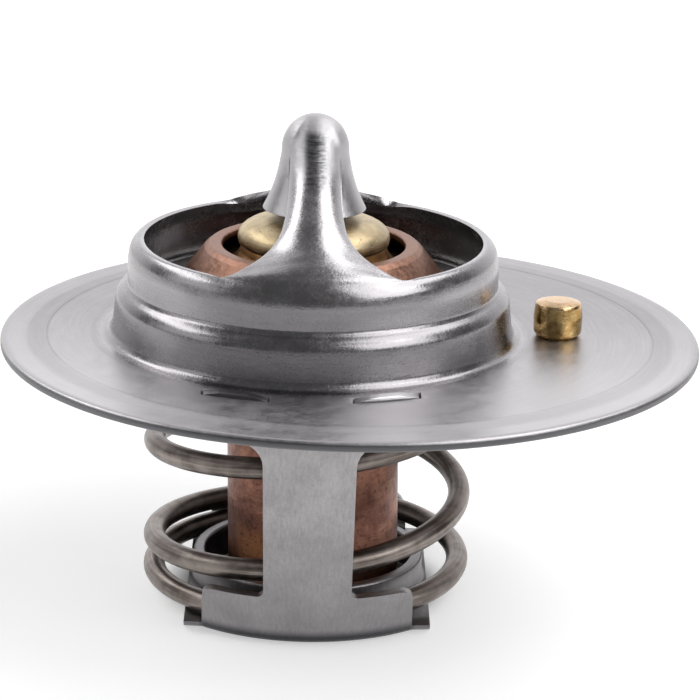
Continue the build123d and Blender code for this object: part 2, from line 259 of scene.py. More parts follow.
for k, (r, z) in enumerate([(26.78, 0.0), (26.90, 0.035), (26.97, 0.11), (27.0, 0.21), (27.0, 0.45), (26.96, 0.575), (26.88, 0.66), (26.76, 0.70)]):
    row(0, r, z, 26.74 - 0.03 * k, 0.0)
for r in (26.4, 25.9, 25.4):
    row(0, r, SHEET, r, 0.0)
for r, f in ((25.05, 0.0), (24.85, 0.10), (24.65, 0.22), (24.40, 0.42), (24.15, 0.64), (23.95, 0.82), (23.78, 0.955), (23.62, 1.0), (23.40, 1.0)):
    row(0, r, SHEET + DROP * f, r - 0.04, DROP * f)
flat = [23.0, 22.4, 21.7, 20.9, 20.0, 19.1, 18.3, 17.6, 17.0]
for r in flat:
    f = (23.4 - r) / (23.4 - 16.6)
    row(AX * f, r, DECK, r, DROP)
for r in (16.6,):
    row(AX, r, DECK, r, DROP)
leg_foot = DECK + 5.27
BEND_1, BEND_2, SPLIT, END = 6.0, 1.30, deg(12.0), deg(62.0)


def lip_at(s):
    """Outer surface of the curled lip at a length s above the straight wall: radius, height over the deck."""
    first = BEND_1 * SPLIT
    if s <= first:
        a = s / BEND_1
        return UPPER_R - BEND_1 * (1 - math.cos(a)), leg_foot - DECK + BEND_1 * math.sin(a)
    a = SPLIT + (s - first) / BEND_2
    r0, z0 = UPPER_R - BEND_1 * (1 - math.cos(SPLIT)), leg_foot - DECK + BEND_1 * math.sin(SPLIT)
    return r0 - BEND_2 * (math.cos(SPLIT) - math.cos(a)), z0 + BEND_2 * (math.sin(a) - math.sin(SPLIT))


wall = refine(rounded([(16.60, DECK), (15.53, DECK, 0.70), (15.17, DECK + 3.38, 1.25), (UPPER_R, DECK + 3.89, 0.55), (UPPER_R, leg_foot)], 8, 0.8), 0.42)
for k in range(1, len(wall)):
    p0, p1, p2 = wall[k - 1], wall[k], wall[min(k + 1, len(wall) - 1)]
    d1 = np.array([p1[0] - p0[0], p1[1] - p0[1]])
    d2 = np.array([p2[0] - p1[0], p2[1] - p1[1]]) if k < len(wall) - 1 else np.array([0.0, 1.0])
    d1, d2 = d1 / np.linalg.norm(d1), d2 / np.linalg.norm(d2)
    dd = (d1 + d2) / np.linalg.norm(d1 + d2)
    row(AX, p1[0], p1[1], p1[0] - SHEET * dd[1], p1[1] + SHEET * dd[0])
first_lip_row = len(rows) - 1
lip_t = [0.0]
K1 = 16
lip_len = BEND_1 * SPLIT + BEND_2 * (END - SPLIT)
for k in range(1, K1 + 1):
    s = lip_len * k / K1
    ro, zo = lip_at(s)
    zo += DECK
    f = max(0.0, (s - 0.90) / (lip_len - 0.90))
    zi = leg_foot + s * (RIM - 0.05 - leg_foot) / lip_len
    row(AX, ro, zo, UPPER_R - SHEET - 0.54 * f**1.6, zi)
    lip_t.append(k / K1)
R = len(rows)
theta = np.arange(N) * 2 * math.pi / N
outer = np.zeros((R, N, 3))
inner = np.zeros((R, N, 3))
for i, (cx, ro, zo, ri, zi) in enumerate(rows):
    outer[i] = np.stack([cx + ro * np.sin(theta), -ro * np.cos(theta), np.full(N, zo)], 1)
    inner[i] = np.stack([cx + ri * np.sin(theta), -ri * np.cos(theta), np.full(N, zi)], 1)

# the leg's stations over the deck: t, crown (distance from the axis, height), half width, edge (distance, height).
# t runs to 1 along the lip, where the edge is the lip itself
c0, s0 = math.cos(CORNER), math.sin(CORNER)
stations = [
    (0.00, 14.30, 5.27, 0, 0, 0),
    (0.30, 14.25, 5.98, 0, 0, 0),
    (0.60, 14.08, 6.66, 0, 0, 0),
    (1.00, 13.71, 7.46, lip_at(lip_len)[0] * s0, lip_at(lip_len)[0] * c0, lip_at(lip_len)[1]),
    (1.30, 13.28, 7.98, 6.38, 11.84, 7.52),
    (1.60, 12.70, 8.37, 5.78, 11.70, 7.73),
    (2.00, 11.92, 8.78, 5.00, 11.26, 8.06),
    (2.45, 11.00, 9.28, 4.16, 10.50, 8.42),
    (2.85, 10.22, 9.74, 3.55, 9.78, 8.73),
    (3.30, 9.40, 10.22, 3.00, 8.97, 9.15),
    (3.85, 8.40, 10.85, 2.52, 7.97, 9.73),
    (4.50, 7.20, 11.63, 2.24, 6.76, 10.45),
    (5.30, 5.85, 12.55, 2.05, 5.38, 11.36),
    (6.10, 4.60, 13.42, 1.97, 4.10, 12.27),
    (6.80, 3.62, 14.10, 1.94, 3.08, 13.03),
    (7.25, 3.02, 14.62, 1.92, 2.42, 13.62),
]
for i in range(3):
    t = stations[i][0]
    s = lip_len * t
    ro, zo = lip_at(s)
    stations[i] = stations[i][:3] + (ro * s0, ro * c0, zo)

bell_profile = [(0, 17.20), (0.66, 17.13), (1.22, 16.90), (1.70, 16.56), (2.06, 16.16), (2.32, 15.70), (2.49, 15.25), (2.57, 14.80),
                (2.60, 14.20), (2.70, 13.60), (2.82, 13.00), (2.98, 12.35), (3.16, 11.75), (3.38, 11.15), (3.62, 10.60), (3.90, 10.02), (3.96, 9.90)]
bp = np.array(bell_profile, float)
chord = np.concatenate([[0], np.cumsum(np.hypot(*np.diff(bp, axis=0).T))])
dense_s = np.linspace(0, chord[-1], 800)
dense = smooth_curve(dense_s, np.column_stack([chord, bp]))
# the pole is flat: a slope of zero there
arc = np.concatenate([[0], np.cumsum(np.hypot(*np.diff(dense, axis=0).T))])
BELL_LEN = arc[-1]


def bell_at(s):
    return np.interp(s, arc, dense[:, 0]), np.interp(s, arc, dense[:, 1])


def bell_s_of_z(z):
    return np.interp(-np.asarray(z, float), -dense[:, 1], arc)


JOIN_CROWN, JOIN_EDGE = 15.38, 14.25
u = np.linspace(-1, 1, 2 * LEG + 1)
leg_rows = 92
ts = 1.0 + (stations[-1][0] - 1.0) * (np.arange(1, leg_rows + 1) / leg_rows) ** 1.12
table = smooth_curve(np.concatenate([lip_t, ts]), stations)


def section(cd, cz, w, ed, ez, ridge=0.0):
    """Points of one section of a leg: x, distance from the axis, height. A ridge has flatter flanks than an arc."""
    sag = math.hypot(ed - cd, ez - cz)
    dd, dz = (ed - cd) / sag, (ez - cz) / sag
    rc = (w * w + sag * sag) / (2 * sag)
    half = math.atan2(w, rc - sag)
    a = half * u
    q = (1 - ridge) * (rc - rc * np.cos(a)) + ridge * sag * (1 - np.cos(0.80 * math.pi * np.abs(u) ** 0.96)) / (1 - math.cos(0.80 * math.pi))
    x = (1 - ridge) * rc * np.sin(a) + ridge * w * u
    return np.stack([x, cd + dd * q, cz + dz * q], 1)


def step(x):
    x = min(max(x, 0.0), 1.0)
    return x * x * (3 - 2 * x)


leg_local = np.array([section(*r, 0.9 * step((t - 1.08) / 0.95) * (1 - step((t - 2.5) / 1.5)))
                      for t, r in zip(np.concatenate([lip_t, ts]), table)])       # rows x columns x (x, d, z over deck)
# last row: on the bell
zb = JOIN_CROWN - (JOIN_CROWN - JOIN_EDGE) * np.abs(u) ** 2.0
sb = bell_s_of_z(zb)
rb, _ = bell_at(sb)
half_join = math.asin(1.91 / bell_at(bell_s_of_z([JOIN_EDGE]))[0][0])
ab = half_join * u
join = np.stack([rb * np.sin(ab), rb * np.cos(ab), zb], 1)
# a few rows between the last station and the bell
bridge_rows = []
for k in range(1, 9):
    f = k / 9
    bridge_rows.append(leg_local[-1] * (1 - f) + join * f)
leg_local = np.concatenate([leg_local, np.array(bridge_rows), join[None]], 0)
n_lip = K1 + 1
LR = len(leg_local) - n_lip          # rows above the lip rows; the last is on the bell

verts = []
index = {}


def add(p):
    base = len(verts)
    verts.extend(np.asarray(p, float).reshape(-1, 3).tolist())
    return base


def place(local, back):
    x, d, z = local[..., 0], local[..., 1], local[..., 2] + DECK
    return np.stack([AX - x, d, z], -1) if back else np.stack([AX + x, -d, z], -1)


cols_front = [(c % N) for c in range(-LEG, LEG + 1)]
cols_back = [((N // 2 + c) % N) for c in range(-LEG, LEG + 1)]
for back, cols in ((False, cols_front), (True, cols_back)):
    for i in range(n_lip):
        outer[first_lip_row + i, cols] = place(leg_local[i], back)

ring_base = add(outer)
ring_id = ring_base + np.arange(R * N).reshape(R, N)
faces = []


def quads(a, b, c, d):
    """Rows of ids a (lower) and b (upper); c, d unused."""
    for i in range(len(a) - 1):
        faces.append((a[i], a[i + 1], b[i + 1], b[i]))


for i in range(R - 1):
    a = list(ring_id[i]) + [ring_id[i][0]]
    b = list(ring_id[i + 1]) + [ring_id[i + 1][0]]
    quads(a, b, None, None)

leg_ids = {}
for back, cols in ((False, cols_front), (True, cols_back)):
    ids = [list(ring_id[R - 1][cols])]
    pts = place(leg_local[n_lip:], back)
    base = add(pts)
    w = 2 * LEG + 1
    for i in range(LR):
        ids.append([base + i * w + k for k in range(w)])
    for a, b in zip(ids[:-1], ids[1:]):
        quads(a, b, None, None)
    leg_ids[back] = ids

# the bell: ring columns = front leg, right side, back leg, left side
SIDE = 36
DOME = 22
start_s = []
start_a = []
for back in (False, True):
    base_a = math.pi if back else 0.0
    for k in range(2 * LEG):
        start_s.append(sb[k]); start_a.append(base_a + ab[k])
    a0 = base_a + half_join
    a1 = base_a + math.pi - half_join
    for k in range(SIDE):
        start_s.append(sb[-1]); start_a.append(a0 + (a1 - a0) * k / SIDE)
start_s, start_a = np.array(start_s), np.array(start_a)
M = len(start_s)
first = []
for m in range(M):
    block, k = divmod(m, 2 * LEG + SIDE)
    if k <= 2 * LEG:
        first.append(leg_ids[bool(block)][-1][k])
    else:
        r_, z_ = bell_at(start_s[m])
        first.append(add([(AX + r_ * math.sin(start_a[m]), -r_ * math.cos(start_a[m]), z_ + DECK)]))
bell_rings = [first]
for j in range(1, DOME):
    f = 1 - (j / DOME)
    r_, z_ = bell_at(start_s * f)
    base = add(np.stack([AX + r_ * np.sin(start_a), -r_ * np.cos(start_a), z_ + DECK], 1))
    bell_rings.append(list(range(base, base + M)))
for a, b in zip(bell_rings[:-1], bell_rings[1:]):
    quads(a + [a[0]], b + [b[0]], None, None)
pole = add([(AX, 0, 17.20 + DECK)])
last = bell_rings[-1]
for k in range(M):
    faces.append((last[k], last[(k + 1) % M], pole))
# skirts, left and right, below the ring
SKIRT = 30
skirt_ids = []
for block in (0, 1):
    m0 = block * (2 * LEG + SIDE) + 2 * LEG
    top = [first[(m0 + k) % M] for k in range(SIDE + 1)]
    prev = top
    mid = math.pi / 2 + block * math.pi
    for j in range(1, SKIRT + 1):
        s = sb[-1] + (BELL_LEN - sb[-1]) * j / SKIRT
        r_, z_ = bell_at(s)
        edge = 1.93 + 0.05 * min(1.0, j / 4)
        half = math.pi / 2 - math.asin(edge / r_)
        angles = mid + half * np.linspace(-1, 1, SIDE + 1)
        base = add(np.stack([AX + r_ * np.sin(angles), -r_ * np.cos(angles), np.full(SIDE + 1, z_ + DECK)], 1))
        ids = list(range(base, base + SIDE + 1))
        quads(ids, prev, None, None)
        prev = ids
    skirt_ids.append(prev)

V = np.array(verts, float)
F4 = [f for f in faces if len(f) == 4]
F3 = [f for f in faces if len(f) == 3]
E = {}
for f in faces:
    for a, b in zip(f, f[1:] + f[:1]):
        key = (a, b) if a < b else (b, a)
        E[key] = E.get(key, 0) + 1
edge_arr = np.array(list(E), int)
edge_n = np.array(list(E.values()), int)
boundary = edge_arr[edge_n == 1]
is_b = np.zeros(len(V), bool)
is_b[boundary.ravel()] = True

# smoothing along each leg column where it meets the bell
for back in (False, True):
    col_ids = []
    for k in range(2 * LEG + 1):
        m = (k + (2 * LEG + SIDE) * int(back)) % M
        col = [leg_ids[back][i][k] for i in range(len(leg_ids[back]))]
        col += [bell_rings[j][m] for j in range(1, DOME)]
        col_ids.append(col)
    col_ids = np.array(col_ids)            # columns x rows
    P = V[col_ids]
    rows_n = P.shape[1]
    j0 = len(leg_ids[back]) - 1
    idx = np.arange(rows_n)
    across = np.clip((1 - np.abs(u)) / 0.35, 0, 1)
    across = across * across * (3 - 2 * across)
    for it in range(170):
        w = 0.5 * np.exp(-((idx - j0 + 2) / 9.0) ** 2)
        w[:1] = 0; w[-1:] = 0
        Q = P.copy()
        Q[:, 1:-1] = 0.5 * (P[:, :-2] + P[:, 2:])
        P = P + across[:, None, None] * w[None, :, None] * (Q - P)
    inside = slice(1, 2 * LEG)
    V[col_ids[inside].ravel()] = P[inside].reshape(-1, 3)

# smoothing of the surface round the foot of each leg, edges along themselves only
nb_n = np.zeros(len(V))
for e in (edge_arr,):
    np.add.at(nb_n, e[:, 0], 1); np.add.at(nb_n, e[:, 1], 1)
bn = np.zeros(len(V))
np.add.at(bn, boundary[:, 0], 1); np.add.at(bn, boundary[:, 1], 1)
r_axis = np.hypot(V[:, 0] - AX, V[:, 1])
az = np.abs(np.arctan2(V[:, 0] - AX, np.abs(V[:, 1])))
zz = V[:, 2] - DECK
def ease(x):
    x = np.clip(x, 0, 1)
    return x * x * (3 - 2 * x)


near = np.clip((zz - 5.7) / 0.7, 0, 1) * np.clip((r_axis - 6.5) / 3.0, 0, 1) * np.clip((deg(44) - az) / deg(9), 0, 1)
# distance from the corners between rim and leg
corner_d = np.sqrt((np.abs(V[:, 0] - AX) - lip_at(lip_len)[0] * s0) ** 2 + (np.abs(V[:, 1]) - lip_at(lip_len)[0] * c0) ** 2 + (zz - 7.40) ** 2)
top = ease((r_axis - 0.5) / 1.2) * ease((zz - 9.5) / 4.5) * ease((17.05 - zz) / 1.2)
top *= np.clip((deg(85) - az) / deg(20), 0, 1)
top[is_b] *= 0.15
weight = np.maximum(near, top)


def smooth_mesh(V, weight, rounds, lams):
    for it in range(rounds):
        for lam in lams:
            S = np.zeros_like(V)
            np.add.at(S, edge_arr[:, 0], V[edge_arr[:, 1]]); np.add.at(S, edge_arr[:, 1], V[edge_arr[:, 0]])
            S /= nb_n[:, None]
            B = np.zeros_like(V)
            np.add.at(B, boundary[:, 0], V[boundary[:, 1]]); np.add.at(B, boundary[:, 1], V[boundary[:, 0]])
            S[is_b] = B[is_b] / bn[is_b][:, None]
            V = V + (lam * weight)[:, None] * (S - V)
    return V


V = smooth_mesh(V, weight, 70, (0.55, -0.57))


def vertex_normals(V, F4, F3):
    n = np.zeros_like(V)
    q = np.array(F4, int)
    d1 = V[q[:, 2]] - V[q[:, 0]]
    d2 = V[q[:, 3]] - V[q[:, 1]]
    c = np.cross(d1, d2)
    for k in range(4):
        np.add.at(n, q[:, k], c)
    if F3:
        t = np.array(F3, int)
        c = np.cross(V[t[:, 1]] - V[t[:, 0]], V[t[:, 2]] - V[t[:, 0]])
        for k in range(3):
            np.add.at(n, t[:, k], c)
    return n / (np.linalg.norm(n, axis=1)[:, None] + 1e-12)


NRM = vertex_normals(V, F4, F3)
calm = 1 - ease((corner_d - 1.2) / 1.8)
for it in range(60):
    S = np.zeros_like(NRM)
    np.add.at(S, edge_arr[:, 0], NRM[edge_arr[:, 1]]); np.add.at(S, edge_arr[:, 1], NRM[edge_arr[:, 0]])
    NRM = NRM + (0.6 * calm)[:, None] * (S / nb_n[:, None] - NRM)
    NRM /= np.linalg.norm(NRM, axis=1)[:, None]
offset = V - NRM * SHEET
flat_inner = inner.reshape(-1, 3)
ring_flat = ring_id.ravel()
row_of = np.repeat(np.arange(R), N)
col_of = np.tile(np.arange(N), R)
ang = (col_of * 360.0 / N + 90) % 180 - 90         # degrees from the front or back direction
def soft(x):
    x = np.clip(x, 0, 1)
    return x * x * (3 - 2 * x)


# how far the thickness follows the flat-trimmed rim (1) or the sheet's own normal (0)
explicit = np.ones(R * N)
in_lip = row_of > first_lip_row
in_leg = np.abs(ang) < 38
explicit[in_lip & in_leg] = soft((np.abs(ang[in_lip & in_leg]) - 21) / 17)
offset[ring_flat] = flat_inner * explicit[:, None] + offset[ring_flat] * (1 - explicit[:, None])
rim_out, rim_in = rows[-1][1:3], rows[-1][3:5]
for back in (False, True):
    for i in range(1, len(leg_ids[back]) - 10):
        t = ts[min(i - 1, len(ts) - 1)]
        keep = (1 - soft((t - 1.0) / 1.0)) * soft((np.abs(u) * LEG * 360 / N - 21) / 17)
        ids = np.array(leg_ids[back][i])
        P = V[ids]
        rad = P[:, :2] - np.array([AX, 0])
        rad /= np.linalg.norm(rad, axis=1)[:, None]
        flat_off = np.column_stack([-rad * (rim_out[0] - rim_in[0]), np.full(len(ids), rim_in[1] - rim_out[1])])
        offset[ids] = P + flat_off * keep[:, None] - NRM[ids] * SHEET * (1 - keep)[:, None]
n0 = len(V)
all_v = np.concatenate([V, offset], 0)
all_f = list(faces) + [tuple(i + n0 for i in f[::-1]) for f in faces]
direction = {}
for f in faces:
    for a, b in zip(f, f[1:] + f[:1]):
        direction[(a, b)] = True
for a, b in boundary:
    a, b = int(a), int(b)
    if (a, b) not in direction:
        a, b = b, a
    all_f.append((b, a, a + n0, b + n0))

body = new_object("flanged_throat", all_v, all_f, sharp=None)
bm = bmesh.new()
bm.from_mesh(body.data)
bmesh.ops.recalc_face_normals(bm, faces=bm.faces)
bm.to_mesh(body.data)
bm.free()


def arc_slot(name, r0, r1, x0, x1, z0, z1, back):
    """A block bent along the throat's circle, for cutting a slot."""
    sgn = 1 if back else -1
    n = 20
    xs = np.linspace(x0, x1, n)
    v, f = [], []
    for x in xs:
        for r in (r0, r1):
            y = sgn * math.sqrt(r * r - x * x)
            v.append((AX + x, y, z0)); v.append((AX + x, y, z1))
    for i in range(n - 1):
        a = 4 * i; b = a + 4
        f += [(a, b, b + 1, a + 1), (a + 2, a + 3, b + 3, b + 2), (a, a + 2, b + 2, b), (a + 1, b + 1, b + 3, a + 3)]
    f += [(0, 1, 3, 2), (4 * n - 4, 4 * n - 2, 4 * n - 1, 4 * n - 3)]
    ob = new_object(name, v, f, smooth=False)
    bm = bmesh.new()
    bm.from_mesh(ob.data)
    bmesh.ops.recalc_face_normals(bm, faces=bm.faces)
    bm.to_mesh(ob.data)
    bm.free()
    return ob


def join_objects(obs, name):
    bm = bmesh.new()
    for o in obs:
        bm.from_mesh(o.data)
    me = bpy.data.meshes.new(name)
    bm.to_mesh(me)
    bm.free()
    for o in obs:
        m = o.data
        bpy.data.objects.remove(o)
        bpy.data.meshes.remove(m)
    ob = bpy.data.objects.new(name, me)
    bpy.context.scene.collection.objects.link(ob)
    return ob


SLOT_MID = 13.68 + 0.246 * (DECK - (DECK - 19.30)) - 0.45
cutters = []
for back in (False, True):
    for x0, x1 in ((-8.00, -3.00), (3.00, 8.00)):
        cutters.append(arc_slot("cut", SLOT_MID - 0.70, SLOT_MID + 0.60, x0, x1, -0.6, 2.0, back))
hole = lathe("cut", [(1.20, -0.6), (1.20, 2.0), (0, 2.0), (0, -0.6)], PIN_X, segs=64, closed=True)
cutters.append(hole)
boolean(body, join_objects(cutters, "cutters"))
bevel(body, 0.05, angle=52, segments=2)
reshade(body, 50)

# ---------------------------------------------------------------- lower stirrup
ST = 0.90
LEG_R0, LEG_Z0, LEG_SLOPE = 13.68, DECK - 19.30, 0.246
NECK_R, NECK_TOP = 8.15, DECK - 17.90
TAB_TOP = DECK + 0.34
FOOT_TOP, BAR_LOW, BAR_TOP = DECK - 16.80, DECK - 3.60, DECK - 0.72
lean = ST * math.hypot(1, LEG_SLOPE)


def leg_out(z):
    return LEG_R0 + LEG_SLOPE * (z - LEG_Z0)


mid = 0.5 * (NECK_TOP + BASE_TOP)
profile = refine(rounded([
    (NECK_R + ST, mid), (NECK_R + ST, NECK_TOP, 0.25), (NECK_R, NECK_TOP, 0.2), (NECK_R, BASE, 1.25), (leg_out(BASE), BASE, 1.70),
    (leg_out(TAB_TOP), TAB_TOP, 0.12), (leg_out(TAB_TOP) - lean, TAB_TOP, 0.12), (leg_out(BASE_TOP) - lean, BASE_TOP, 0.80),
    (NECK_R + ST, BASE_TOP, 0.40), (NECK_R + ST, mid - 0.2)], 6), 1.1)
stirrup = lathe("stirrup", profile, AX, segs=240)


def shifted(points):
    return [(AX + x, z) for x, z in points]


def mirrored(points):
    return [(-x, z) for x, z in points][::-1]


def slab(name, x0, x1, y0, y1, z0, z1):
    return prism(name, [(AX + x0, z0), (AX + x1, z0), (AX + x1, z1), (AX + x0, z1)], y0, y1)


def outline(foot_top, corner):
    return rounded([(30, BASE_TOP), (8.0, BASE_TOP), (8.0, foot_top, corner), (3.30, foot_top, 0.5), (3.46, BAR_LOW, 1.9), (8.0, BAR_LOW, 0.6),
                    (8.0, BAR_TOP), (7.85, BAR_TOP), (7.85, DECK - 0.04, 0.10), (6.75, TAB_TOP - 0.09, 1.0), (5.90, TAB_TOP + 0.02), (5.90, TAB_TOP + 1), (30, TAB_TOP + 1)], 6)


front_side, rear_side = outline(FOOT_TOP, 1.0), outline(FOOT_TOP - 0.45, 1.3)
centre = rounded([(3.15, BAR_TOP), (3.15, DECK - 0.04, 0.10), (4.25, TAB_TOP - 0.09, 1.0), (5.10, TAB_TOP + 0.02), (5.10, TAB_TOP + 1), (-5.10, TAB_TOP + 1),
                  (-5.10, TAB_TOP + 0.02), (-4.25, TAB_TOP - 0.09, 1.0), (-3.15, DECK - 0.04, 0.10), (-3.15, BAR_TOP)], 4)
boolean(stirrup, join_objects([slab("s", 9.40, 30, -30, 30, BASE - 1, BASE + 3.5), slab("s", -30, -9.40, -30, 30, BASE - 1, BASE + 3.5)], "c"))
boolean(stirrup, join_objects([prism("s", shifted(p), -30, -6) for p in (front_side, mirrored(front_side), centre)]
                              + [prism("s", shifted(p), 6, 30) for p in (rear_side, mirrored(rear_side), centre)], "c"))
boolean(stirrup, join_objects([slab("s", 10, 30, -6.5, 6.5, BASE - 1, TAB_TOP + 1), slab("s", -30, -10, -6.5, 6.5, BASE - 1, TAB_TOP + 1)], "c"))
for v in stirrup.data.vertices:
    x, y, z = v.co.x / MM - AX, v.co.y / MM, v.co.z / MM
    r = math.hypot(x, y)
    if abs(x) > 8.0 and r > 9.6 and z < BASE_TOP + 0.4:
        push = (math.sqrt(max(r * r - 64.0, 0)) - math.sqrt(max(r * r - x * x, 0))) * 0.9
        v.co.y += math.copysign(push * min(1.0, (r - 9.6) / 2.4), y) * MM
bevel(stirrup, 0.07, angle=50, segments=2)
reshade(stirrup, 40)

# ---------------------------------------------------------------- turned and pressed pieces
plate = lathe("seat_plate", refine(rounded([
    (11.6, PLATE_LOW), (14.22, PLATE_LOW, 0.25), (14.22, PLATE_TOP, 0.30), (10.9, PLATE_TOP, 0.9), (10.1, PLATE_TOP + 0.45, 0.9),
    (7.20, PLATE_TOP + 0.45, 0.12), (7.20, PLATE_LOW + 0.45, 0.12), (10.0, PLATE_LOW + 0.45, 0.7), (10.75, PLATE_LOW, 0.7), (11.3, PLATE_LOW)], 5), 0.9), AX, segs=192)
CB, FZ, CT = DECK - 20.30, PLATE_TOP + 0.45, DECK + 7.05
cup = lathe("capsule", refine(rounded([
    (0, CB), (6.70, CB, 1.30), (6.70, FZ, 0.40), (10.30, FZ, 0.35), (10.30, FZ + 0.75, 0.55), (8.42, CT - 0.34, 0.45), (8.00, CT, 0.35),
    (7.02, CT, 0.34), (7.06, CT - 0.50, 0.2), (7.60, CT - 0.76, 0.25), (9.45, FZ + 1.0, 0.25), (9.45, FZ + 0.60, 0.15), (7.0, FZ + 0.60, 0.4),
    (6.10, FZ - 0.30, 0.4), (6.10, CB + 0.60, 0.70), (0, CB + 0.60)], 7), 1.2), AX, segs=224, closed=False)
GL, GT = FZ + 1.20, DECK + 9.20


def lean_over(ob):
    for v in ob.data.vertices:
        v.co.x += 0.0175 * max(0.0, DECK + 3.2 - v.co.z / MM) * MM
    ob.data.update()

dome = [(1.9 + 3.95 * math.cos(math.radians(t)), DECK + 7.72 + 1.48 * math.sin(math.radians(t))) for t in range(0, 91, 9)]
guide_profile = rounded([(1.60, GL + 2.2), (1.60, GL + 0.72), (3.0, GL + 0.72), (3.0, GL), (9.0, GL, 0.1), (8.05, GL + 0.84, 0.2), (7.70, GL + 0.94, 0.2),
                         (6.60, GL + 0.94, 0.4), (6.02, GL + 1.20, 0.6), (5.70, DECK + 6.50, 0.8), (5.56, DECK + 7.08, 0.1), (5.80, DECK + 7.16, 0.12), (5.85, DECK + 7.50, 0.2)], 6)
guide_profile += dome + [(1.72, DECK + 9.17), (1.60, DECK + 9.02)]
guide = lathe("bush", refine(guide_profile, 0.7), AX, segs=192, sharp=45)
lean_over(cup)
rod = lathe("rod", refine(rounded([(0, DECK - 15.0), (1.55, DECK - 15.0, 0.3), (1.55, DECK + 15.2), (1.44, DECK + 15.66), (1.12, DECK + 16.06),
                                   (0.62, DECK + 16.34), (0, DECK + 16.42)], 4), 1.6), AX, segs=64, closed=False)
BZ = DROP - 1.50
pin_curve = smooth_curve(np.linspace(0, 1, 20), [(0, 0.85, BZ - 0.10), (0.25, 1.45, BZ - 0.75), (0.5, 1.64, BZ - 1.60), (0.75, 1.25, BZ - 2.70), (1.0, 0.0, BZ - 3.18)])
pin_profile = rounded([(0, DECK + 2.88), (1.00, DECK + 2.87, 0.5), (1.74, DECK + 2.66, 0.16), (1.80, DECK + 2.45, 0.3), (1.90, DECK + 1.55, 1.2),
                       (1.86, DECK + 0.35, 0.3), (1.60, DECK + 0.02, 0.12), (0.95, DECK + 0.02, 0.06), (0.85, DECK - 0.2), (0.85, BZ - 0.10)], 6)
pin_profile += [tuple(p) for p in pin_curve[1:-1]] + [(0, BZ - 3.18)]
pin = lathe("vent_pin_turned", refine(pin_profile, 0.35), PIN_X, segs=96, closed=False)

# ---------------------------------------------------------------- return spring
WIRE, COIL = 0.85, 11.78
SPRING_LOW, SPRING_HIGH = BASE_TOP + WIRE + 0.05, PLATE_LOW - WIRE - 0.06
rise = [(-0.27, 0.00), (0.00, 0.00), (0.25, 0.25), (0.50, 0.85), (0.75, 1.60), (1.00, 2.45), (1.25, 3.95), (1.50, 6.35), (1.75, 8.35),
        (2.00, 10.20), (2.25, 12.00), (2.50, 13.90), (2.75, 16.00), (3.00, 18.00), (3.25, 19.30), (3.50, 19.95), (3.75, 20.30), (4.00, 20.40)]
turns = np.linspace(rise[0][0], rise[-1][0], 400)
heights = smooth_curve(turns, rise)[:, 0] * (SPRING_HIGH - SPRING_LOW) / 20.40 + SPRING_LOW
angles = math.pi + 2 * math.pi * turns
full = COIL + 0.20 - 0.14 * np.cos(angles)
path = np.stack([AX + full * np.cos(angles) - 0.04, (COIL + 0.10) * np.sin(angles), heights], 1)
tangent = np.gradient(path, axis=0)
tangent /= np.linalg.norm(tangent, axis=1)[:, None]
radial = np.stack([np.cos(angles), np.sin(angles), np.zeros_like(angles)], 1)
radial -= (radial * tangent).sum(1)[:, None] * tangent
radial /= np.linalg.norm(radial, axis=1)[:, None]
third = np.cross(tangent, radial)
WSEG = 28
sv, sf, along, around = [], [], [], []
run = np.concatenate([[0], np.cumsum(np.linalg.norm(np.diff(path, axis=0), axis=1))])
for i in range(len(path)):
    for k in range(WSEG):
        t = 2 * math.pi * k / WSEG
        sv.append(path[i] + WIRE * (math.cos(t) * radial[i] + math.sin(t) * third[i]))
        along.append(run[i]); around.append(t)
for i in range(len(path) - 1):
    for k in range(WSEG):
        a, b = i * WSEG + k, i * WSEG + (k + 1) % WSEG
        sf.append((a, b, b + WSEG, a + WSEG))
for end, sgn in ((0, 1), (len(path) - 1, -1)):
    ring0 = list(range(end * WSEG, end * WSEG + WSEG))
    inset = []
    for k in range(WSEG):
        t = 2 * math.pi * k / WSEG
        inset.append(len(sv))
        sv.append(path[end] - tangent[end] * 0.07 * sgn + 0.78 * (math.cos(t) * radial[end] + math.sin(t) * third[end]))
        along.append(run[end]); around.append(t)
    for k in range(WSEG):
        sf.append((ring0[k], ring0[(k + 1) % WSEG], inset[(k + 1) % WSEG], inset[k]))
    sf.append(tuple(inset))
coil = new_object("coil_spring", sv, sf, sharp=None)
wire_attr = coil.data.attributes.new("wire", "FLOAT_VECTOR", "POINT")
around_a = np.array(around)
wire_attr.data.foreach_set("vector", np.stack([np.cos(around_a), np.sin(around_a), np.array(along)], 1).ravel())
bm = bmesh.new()
bm.from_mesh(coil.data)
bmesh.ops.recalc_face_normals(bm, faces=bm.faces)
bm.to_mesh(coil.data)
bm.free()
reshade(coil, 40)


